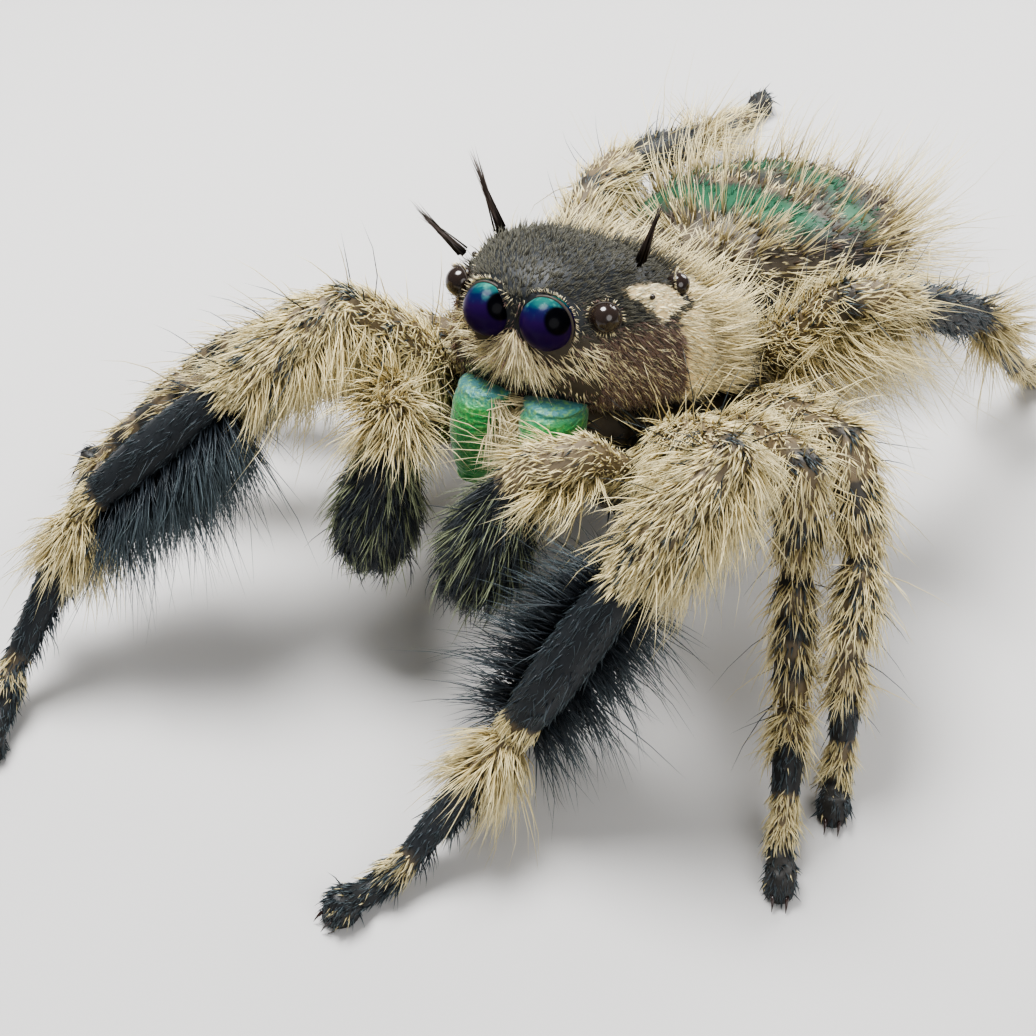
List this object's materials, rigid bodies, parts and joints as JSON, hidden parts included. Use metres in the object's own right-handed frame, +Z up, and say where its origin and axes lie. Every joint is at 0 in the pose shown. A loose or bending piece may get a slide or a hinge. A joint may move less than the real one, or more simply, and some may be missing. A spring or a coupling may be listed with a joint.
{
  "type": "jumping spider model",
  "caption": "Still, life-size model of a hairy jumping spider standing with its forelegs reaching forward, for a museum case or a study shelf.",
  "frame": {"origin": "on the floor, under the middle of the model's box", "axes": "-Y the way the face looks, +X the spider's left, +Z up from the floor"},
  "size_m": [0.013, 0.0204, 0.006],
  "materials": {
    "body_coat": "mottled brown, grey and cream scales and bristles",
    "cream_coat": "long cream hair over dark cuticle",
    "dark_coat": "blue-black hair with a dull sheen",
    "dark_cuticle": "smooth dark cuticle",
    "green_chelicera": "iridescent green, finely wrinkled",
    "eye": "polished lens, dark with a blue-green reflection",
    "fang": "polished dark red-brown"
  },
  "bodies": {
    "root": {"cephalothorax": "body_coat", "sternum": "body_coat", "mouthparts": "dark_cuticle", "waist": "dark_cuticle", "abdomen": "body_coat", "spinnerets": "dark_cuticle", "chelicera_left": "green_chelicera", "fang_left": "fang", "eye_front_median_left": "eye", "eye_front_lateral_left": "eye", "eye_middle_left": "eye", "eye_rear_left": "eye", "palp_left_arm": "cream_coat", "palp_left_bulb": "dark_coat", "leg_1_left_femur": "cream_coat", "leg_1_left_tibia": "dark_coat", "leg_1_left_foot": "cream_coat", "leg_2_left_femur": "cream_coat", "leg_2_left_tibia": "dark_coat", "leg_2_left_foot": "cream_coat", "leg_3_left_femur": "cream_coat", "leg_3_left_tibia": "dark_coat", "leg_3_left_foot": "cream_coat", "leg_4_left_femur": "cream_coat", "leg_4_left_tibia": "dark_coat", "leg_4_left_foot": "cream_coat", "chelicera_right": "green_chelicera", "fang_right": "fang", "eye_front_median_right": "eye", "eye_front_lateral_right": "eye", "eye_middle_right": "eye", "eye_rear_right": "eye", "palp_right_arm": "cream_coat", "palp_right_bulb": "dark_coat", "leg_1_right_femur": "cream_coat", "leg_1_right_tibia": "dark_coat", "leg_1_right_foot": "cream_coat", "leg_2_right_femur": "cream_coat", "leg_2_right_tibia": "dark_coat", "leg_2_right_foot": "cream_coat", "leg_3_right_femur": "cream_coat", "leg_3_right_tibia": "dark_coat", "leg_3_right_foot": "cream_coat", "leg_4_right_femur": "cream_coat", "leg_4_right_tibia": "dark_coat", "leg_4_right_foot": "cream_coat"}
  },
  "joints": []
}
